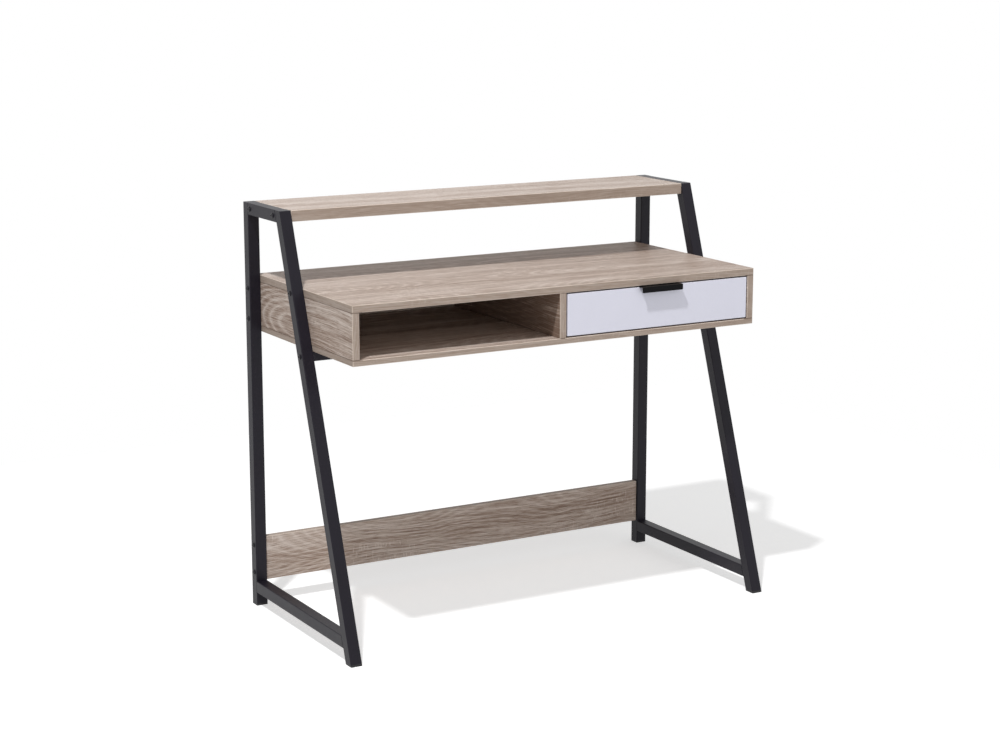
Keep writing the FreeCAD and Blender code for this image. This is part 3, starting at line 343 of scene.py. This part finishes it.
def skin_finish(name, colour, roughness, metallic, ior, grain, depth, drift):
    """Colour is the given one moved by a cloud's share of the drift; relief is the fine grain."""
    material, wire, shader = new_finish(name, {"IOR": ior, "Metallic": metallic})
    place = wire.node("ShaderNodeTexCoord", output="Object")

    def noise(scale, detail):
        inputs = {"Vector": place, "Scale": scale, "Detail": detail}
        return wire.node("ShaderNodeTexNoise", None, inputs)

    cloud = noise(CLOUDS_TO_THE_METRE, CLOUD_DETAIL)
    peel = noise(grain, PEEL_DETAIL)
    share = ramped(cloud * (1 - PEEL_SHARE) + peel * PEEL_SHARE, *DRIFT_RANGE)
    shade = blended(wire, share, rgba(colour, 1 - drift), rgba(colour, 1 + drift))
    gloss = roughness + (cloud - NOISE_MEAN) * CLOUD_GLOSS + (peel - NOISE_MEAN) * PEEL_GLOSS
    relief = bumped(wire, peel, depth, PEEL_STRENGTH)
    feed(shader, Base_Color=shade, Roughness=gloss, Normal=relief)
    return material


for skin, recipe in SKINS.items():
    finishes[skin] = skin_finish(skin, *recipe)
for name, piece in nodes.items():
    piece.data.materials.clear()
    piece.data.materials.append(finishes[slot_of[name]])
nodes["drawer_pull"].data.materials[0] = finishes["pull_lacquer"]
print("finishes", len(finishes))

# %% [markdown]
# ## Boards
# A board could be a cube with a Bevel modifier, but its grain needs a UV map that runs with the
# board, and its edge strips need to be known to the finish. So a board is a profile carried along
# a path: a rectangle with rounded corners, drawn in as it nears each end. The same grid of points
# gives the map: u is the way along the board, v the way round the profile. A free rounded edge
# gets a painted highlight, a paler tint, and where a rounded edge meets another board, the groove
# between them gets painted shade, a dark tint.

# %% Profile and path
EDGE_RADIUS = 0.0011
ARC_STEPS = 4
END_STEPS = 3
END_TURN = math.radians(80)
STATION_STEP = 0.01


def rounded_rectangle(wide, tall):
    """Points of a rectangle with quarter-circle corners, anticlockwise, with each one's outward way.

    Corner k is centred one radius inside the rectangle, and its arc turns from k - 2 to k - 1
    quarters; the straight sides are the steps from the last point of an arc to the next arc.
    """
    quarter = np.linspace(0, math.pi / 2, ARC_STEPS + 1)
    turn = (quarter[None, :] + (np.arange(4)[:, None] + 2) * math.pi / 2).ravel()
    outward = np.stack([np.cos(turn), np.sin(turn)], axis=1)
    reach = np.array([wide, tall]) / 2 - EDGE_RADIUS
    middle = np.array([[-1, -1], [1, -1], [1, 1], [-1, 1]]) * reach
    return np.repeat(middle, ARC_STEPS + 1, axis=0) + EDGE_RADIUS * outward, outward


def stations(low, high):
    """Places along a board from low to high, and how far the profile is drawn in at each.

    At an end the profile turns inwards by an angle that grows from 0 to END_TURN. A station there
    is radius * (sin END_TURN - sin angle) from the end and drawn in by radius * (1 - cos angle), so
    that the ends are as soft as the long edges.
    """
    angle = np.linspace(END_TURN, 0, END_STEPS + 1)
    back = EDGE_RADIUS * (np.sin(END_TURN) - np.sin(angle))
    first_end = low + back
    last_end = (high - back)[::-1]
    steps = round((last_end[0] - first_end[-1]) / STATION_STEP)
    between = np.linspace(first_end[-1], last_end[0], steps + 1)[1:-1]
    turned = np.concatenate([angle, np.zeros(len(between)), angle[::-1]])
    return np.concatenate([first_end, between, last_end]), EDGE_RADIUS * (1 - np.cos(turned))


def skin_faces(rows, columns):
    """The quads of a closed strip of rows, with each one's row and column, and a cap for each end."""
    row, column = (index.ravel() for index in np.indices((rows - 1, columns)))
    following = (column + 1) % columns
    quads = np.stack([
        row * columns + column, row * columns + following,
        (row + 1) * columns + following, (row + 1) * columns + column,
    ], axis=-1)
    around = np.arange(columns)
    caps = np.stack([around[::-1], (rows - 1) * columns + around])
    return row, column, quads, caps


print("profile points", 4 * (ARC_STEPS + 1))

# %% Map and marks
FIGURE_STEP = 0.737
ALONG_SHIFT = 3
CAP_SHIFT = 5
SEAM_REACH = 1.3
NARROW_SLACK = 1.01


def side_map(station, step, row, column, seed):
    """UV of the quads in metres: u is the station, v the way round the profile so far.

    Each side of the profile starts one FIGURE_STEP further on, and the board's seed moves u and v,
    so that no two faces show the same figure.
    """
    side = np.arange(len(step)) // (ARC_STEPS + 1)
    start = np.cumsum(step) - step + side * FIGURE_STEP
    end = start + step
    u = np.stack([station[row], station[row], station[row + 1], station[row + 1]], axis=-1)
    v = np.stack([start[column], end[column], end[column], start[column]], axis=-1)
    return np.stack([u + ALONG_SHIFT * seed, v + seed], axis=-1).reshape(-1, 2)


def edge_marks(centre, step, row, column, thin, others):
    """Which quads are edge strips, which are free rounded edges and which are seams.

    A strip is a straight side no longer than the board is thin. A rounded edge or end whose centre
    lies within SEAM_REACH radii of another board's box lies in one of the seams and is marked for a
    painted shade; elsewhere it is free and marked for a painted highlight.
    """
    straight = np.arange(len(step)) % (ARC_STEPS + 1) == ARC_STEPS
    strip = straight & (step < thin * NARROW_SLACK)
    at_end = (row < END_STEPS) | (row > row.max() - END_STEPS)
    edge = ~straight[column] | at_end
    reach = SEAM_REACH * EDGE_RADIUS
    above = centre[:, None, :] > others[None, :, 0, :] - reach
    below = centre[:, None, :] < others[None, :, 1, :] + reach
    meets = (above & below).all(axis=2).any(axis=1)
    return strip[column], edge & ~meets, edge & meets


print("seam reach mm", round(1000 * SEAM_REACH * EDGE_RADIUS, 2))


# %% A board from its box
def board(name, box, along, figure, shade, arch, others):
    """A solid board in a box, its grain along one axis (0, 1 or 2 for x, y or z).

    Every station carries the profile, drawn in at the ends. The shade and the arches' strength go
    evenly from the first of their two numbers to the second, along the board.
    """
    low, high = np.array(box)
    size = high - low
    first, second = (along + 1) % 3, (along + 2) % 3
    thin, broad = sorted((first, second), key=lambda axis: size[axis])
    profile, outward = rounded_rectangle(size[first], size[second])
    station, draw = stations(low[along], high[along])
    flat = profile[None, :, :] - draw[:, None, None] * outward[None, :, :]
    points = np.empty((len(station), len(profile), 3))
    points[..., along] = station[:, None]
    points[..., first] = flat[..., 0] + (low + high)[first] / 2
    points[..., second] = flat[..., 1] + (low + high)[second] / 2
    points = points.reshape(-1, 3)
    row, column, quads, caps = skin_faces(len(station), len(profile))
    mesh = bpy.data.meshes.new(name)
    mesh.from_pydata(points.tolist(), [], quads.tolist() + caps.tolist())

    seed = FIGURE_STEP * figure
    step = np.linalg.norm(np.roll(profile, -1, axis=0) - profile, axis=1)
    cap_points = points[caps.ravel()]
    cap_map = np.stack([cap_points[:, broad] + seed, cap_points[:, thin] + CAP_SHIFT * seed], axis=-1)
    grain = np.concatenate([side_map(station, step, row, column, seed), cap_map])
    uv = mesh.uv_layers.new(name="grain")
    uv.uv.foreach_set("vector", grain.astype(np.float32).ravel())

    def faded(ends):
        return np.append(np.linspace(*ends, len(station) - 1)[row], ends)

    centre = points[quads].mean(axis=1)
    strip, free, seam_shade = edge_marks(centre, step, row, column, size[thin], others)
    band = np.append(strip, [True, True])
    values = {
        "band": band,
        "edge_highlight": np.append(free, [False, False]),
        "seam_shade": np.append(seam_shade, [False, False]),
        "shade": np.where(band, 0, faded(shade)),
        "arch": faded(arch),
    }
    for attribute, numbers in values.items():
        painted = mesh.attributes.new(attribute, "FLOAT", "FACE")
        painted.data.foreach_set("value", numbers.astype(np.float32))
    mesh.validate()
    piece = bpy.data.objects.new(name, mesh)
    bpy.context.scene.collection.objects.link(piece)
    return piece


print("edge radius mm", 1000 * EDGE_RADIUS)

# %% [markdown]
# ## Which board is which
# The shelf, the worktop, the box's floor and back, and the low board between the rear legs have
# their grain along the desk. The uprights of the box have it from front to rear, with an upright
# strip on the front edge. Each board takes the place of its CAD solid, to the millimetre. The
# drawer's face is such a board too, under its lacquer.

# %% Lay the boards
ACROSS, FORE_AND_AFT = 0, 1
BOARDS = (
    # name, CAD node, way of the grain, figure, then shade and strength of the arches at both ends
    # the shelf's paler shade is partly a painted sheen
    ("shelf_board", "top_shelf", ACROSS, 0, (0.14, 0.14), (0.35, 0.35)),
    # the worktop: paler, partly a painted sheen, and darker to the right, a painted fall-off of the
    # lamp
    ("worktop_board", "desktop_panel", ACROSS, 1, (0.1, -0.06), (0.35, 0.35)),
    ("box_floor_board", "box_bottom_panel", ACROSS, 2, (0.0, 0.0), (0.35, 0.35)),
    # the back's paler shade is painted light inside the bay
    ("box_back_board", "back_panel", ACROSS, 3, (0.2, 0.2), (0.35, 0.35)),
    ("low_rear_board", "stretcher_board", ACROSS, 95, (0.12, -0.07), (0.45, 0.35)),
    ("left_upright_board", "left_side_panel", FORE_AND_AFT, 25, (0.03, 0.03), (0.2, 0.9)),
    # the divider's dark shade is painted shade inside the bay
    ("middle_upright_board", "divider_panel", FORE_AND_AFT, 6, (-0.45, -0.45), (0.3, 0.3)),
    ("right_upright_board", "right_side_panel", FORE_AND_AFT, 7, (0.0, 0.0), (0.4, 0.4)),
    ("drawer_face", "drawer_front", ACROSS, 8, (0.0, 0.0), (0.0, 0.0)),
)


def dressed(piece, node):
    """Put the node's finish on a piece, in the node's place, on the node's body."""
    piece.data.materials.append(finishes[slot_of[node]])
    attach(piece, nodes[node]["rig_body"])
    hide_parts(node)


boards = {}
boxes = {row[1]: np.array(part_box(row[1])) for row in BOARDS}
for name, node, along, figure, shade, arch in BOARDS:
    others = np.stack([box for key, box in boxes.items() if key != node])
    boards[node] = board(name, boxes[node], along, figure, shade, arch, others)
    dressed(boards[node], node)
    print(name, "mm", np.round(1000 * (boxes[node][1] - boxes[node][0])))

# %% [markdown]
# ## Pockets for the cam fittings
# Steel cams sit in round pockets of the uprights, and each shows as a disc in one face. The CAD
# cams are there, so the new uprights need the pockets. Rings of points could be worked into the
# board's grid, but a Boolean with a row of plugs is clearer, and the result is kept as the mesh.

# %% Cut the pockets
POCKET_RADIUS = 0.0075
POCKET_DEPTH = 0.0127
POCKET_EDGE = 0.024
POCKET_END = 0.05
ROUND_STEPS = 48
PAST_THE_FACE = 0.002


def plugs(name, centres, way):
    """Round plugs along x: two rings of points at each centre, joined by quads, closed by two caps."""
    turn = np.linspace(0, 2 * math.pi, ROUND_STEPS, endpoint=False)
    ring = np.stack([np.zeros_like(turn), np.cos(turn), np.sin(turn)], axis=1) * POCKET_RADIUS
    ends = np.array([[way * PAST_THE_FACE, 0, 0], [-way * POCKET_DEPTH, 0, 0]])
    ends = ends[np.argsort(ends[:, 0])]
    points = centres[:, None, None, :] + ends[None, :, None, :] + ring[None, None, :, :]
    around = np.arange(ROUND_STEPS)
    after = (around + 1) % ROUND_STEPS
    wall = np.stack([around, after, ROUND_STEPS + after, ROUND_STEPS + around], axis=-1)
    faces = []
    for shift in np.arange(len(centres)) * 2 * ROUND_STEPS:
        faces += (wall + shift).tolist()
        faces += [(around[::-1] + shift).tolist(), (ROUND_STEPS + around + shift).tolist()]
    mesh = bpy.data.meshes.new(name)
    mesh.from_pydata(points.reshape(-1, 3).tolist(), [], faces)
    cutter = bpy.data.objects.new(name, mesh)
    bpy.context.scene.collection.objects.link(cutter)
    return cutter


def pocketed(node, way):
    """Sink the four pockets into the face of an upright that looks along way * x."""
    piece = boards[node]
    low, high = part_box(node)
    rows = (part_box("box_bottom_panel")[0].y + POCKET_END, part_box("back_panel")[0].y - POCKET_END)
    face = high.x if way > 0 else low.x
    heights = (low.z + POCKET_EDGE, high.z - POCKET_EDGE)
    centres = np.array([(face, y, z) for y in rows for z in heights])
    cutter = plugs("pocket_plugs", centres, way)
    boolean = piece.modifiers.new("pockets", "BOOLEAN")
    boolean.operation = "DIFFERENCE"
    boolean.solver = "EXACT"
    boolean.object = cutter
    bpy.context.view_layer.update()
    solid = piece.evaluated_get(bpy.context.evaluated_depsgraph_get())
    cut = bpy.data.meshes.new_from_object(solid)
    piece.modifiers.clear()
    piece.data = cut
    bpy.data.objects.remove(cutter)
    print(node, "faces with pockets", len(cut.polygons))


for node, way in (("left_side_panel", 1), ("divider_panel", 1), ("right_side_panel", -1)):
    pocketed(node, way)

# %% [markdown]
# ## Floor
# The desk stands on a pale floor. To light the desk from below as a real floor does, it is matt
# and not quite white. The camera should see it white, with a pale shadow, so part of the floor
# glows, but only for the rays that show it.

# %% Floor
FLOOR_HALF = 1.7
FLOOR_COLOUR = (0.8, 0.8, 0.8)
FLOOR_GLOW = 0.52


def seen_directly(wire):
    """One for rays that show the surroundings to the camera, in metal or through glass."""
    path = [wire.node("ShaderNodeLightPath", output=name) for name in
            ("Is Camera Ray", "Is Glossy Ray", "Is Transmission Ray")]
    return wire.math("MINIMUM", path[0] + path[1] + path[2], 1.0)


def floor_finish():
    """A matt floor for the light; where it is seen, a glow is added, so that its shadow is pale."""
    material = bpy.data.materials.new("pale_floor")
    material.use_nodes = True
    material.node_tree.nodes.clear()
    wire = Wire(material.node_tree)
    matt = wire.node("ShaderNodeBsdfDiffuse", None, {"Color": rgba(FLOOR_COLOUR)})
    glow = wire.node("ShaderNodeEmission", None, {"Strength": FLOOR_GLOW})
    seen = wire.node("ShaderNodeAddShader", None, {0: matt, 1: glow})
    mixed = wire.node("ShaderNodeMixShader", None, {0: seen_directly(wire), 1: matt, 2: seen})
    out = material.node_tree.nodes.new("ShaderNodeOutputMaterial")
    material.node_tree.links.new(mixed.socket, out.inputs["Surface"])
    return material


sides = np.linspace(-FLOOR_HALF, FLOOR_HALF, 2)
corner_x, corner_y = np.meshgrid(sides, sides)
corner_z = np.full_like(corner_x, cad_box[0][2])
floor_points = np.stack([corner_x, corner_y, corner_z], axis=-1).reshape(-1, 3)
floor_mesh = bpy.data.meshes.new("floor")
floor_mesh.from_pydata(floor_points.tolist(), [], [(0, 1, 3, 2)])
floor_mesh.materials.append(floor_finish())
floor = bpy.data.objects.new("floor", floor_mesh)
bpy.context.scene.collection.objects.link(floor)
print("floor m", 2 * FLOOR_HALF)

# %% [markdown]
# ## Light
# One round studio lamp hangs high up at the front left, near enough for its shadows to spread a
# little. The room around it is brighter in front of the desk than behind it, and brightest at a
# white wall straight ahead of the bay, whose light reaches far into it. An even sky would be
# simpler, but it would leave the bay too dark and the rear too pale. The level is plain: lamp and
# room together light a level face to about one, so a colour comes out as it is written.

# %% Room
BACK_LEVEL = 0.12
FRONT_LEVEL = 0.55
WALL_LEVEL = 0.85
WALL_FALL = 12

room = bpy.data.worlds.new("room")
room.use_nodes = True
bpy.context.scene.world = room
backdrop = room.node_tree.nodes["Background"]
room_wire = Wire(room.node_tree)
way = room_wire.node("ShaderNodeTexCoord", output="Generated")
rearward = room_wire.node("ShaderNodeSeparateXYZ", None, {"Vector": way}, "Y")
frontal = room_wire.math("MAXIMUM", 0 - rearward, 0.0)
dim_level = FRONT_LEVEL + (rearward + 1) * ((BACK_LEVEL - FRONT_LEVEL) / 2)
dim_level = dim_level + room_wire.math("POWER", frontal, WALL_FALL) * WALL_LEVEL
level = dim_level + seen_directly(room_wire) * (1 - dim_level)
backdrop.inputs["Color"].default_value = rgba((1, 1, 1))
feed(backdrop, Strength=level)
print("room nodes", len(room.node_tree.nodes))

# %% Lamp
KEY_LEVEL = 0.67
KEY_PLACE = Vector((-2.28, -1.8, 5.6))
KEY_SIZE = 0.265

# A disc lamp of so many watts lights a white face that looks at it to watts / (pi * distance) ** 2.
key = bpy.data.objects.new("key", bpy.data.lights.new("key", "AREA"))
key_way = Vector((0, 0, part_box("desktop_panel")[1].z)) - KEY_PLACE
key.data.shape = "DISK"
key.data.size = KEY_SIZE
key.data.energy = KEY_LEVEL * math.pi ** 2 * key_way.length_squared
key.location = KEY_PLACE
key.rotation_euler = key_way.to_track_quat("-Z", "Y").to_euler()
key.visible_camera = False
bpy.context.scene.collection.objects.link(key)
print("lamp to desk", round(key_way.length, 2), "m")

# %% [markdown]
# ## Camera
# The photograph was taken from the front left, a little above the shelf, with a long lens. The
# camera's place, turn and lens were fitted to the straight edges of the desk. A lens moved down in
# its frame would keep upright edges parallel, but it would push the desk out of every other view,
# so the camera looks straight through the middle of its frame.

# %% Camera
PHOTO_WIDTH = 1000
FOCAL_PIXELS = 2157.0
SENSOR = 36.0
EYE = Vector((-2.2571, -3.8926, 1.4251))
HEADING = math.radians(29.848)
TILT = math.radians(11.693)

camera = bpy.data.objects.new("camera", bpy.data.cameras.new("camera"))
camera.data.sensor_width = SENSOR
camera.data.lens = FOCAL_PIXELS / PHOTO_WIDTH * SENSOR
ahead = Vector((math.sin(HEADING), math.cos(HEADING), 0))
right = Vector((math.cos(HEADING), -math.sin(HEADING), 0))
up = Vector((0, 0, 1))
forward = ahead * math.cos(TILT) - up * math.sin(TILT)
upward = up * math.cos(TILT) + ahead * math.sin(TILT)
turn = Matrix((right, upward, -forward)).transposed()
camera.matrix_world = Matrix.Translation(EYE) @ turn.to_4x4()
bpy.context.scene.collection.objects.link(camera)
bpy.context.scene.camera = camera
bpy.context.scene.view_settings.view_transform = "Standard"
print("lens", round(camera.data.lens, 1), "mm")

# %% [markdown]
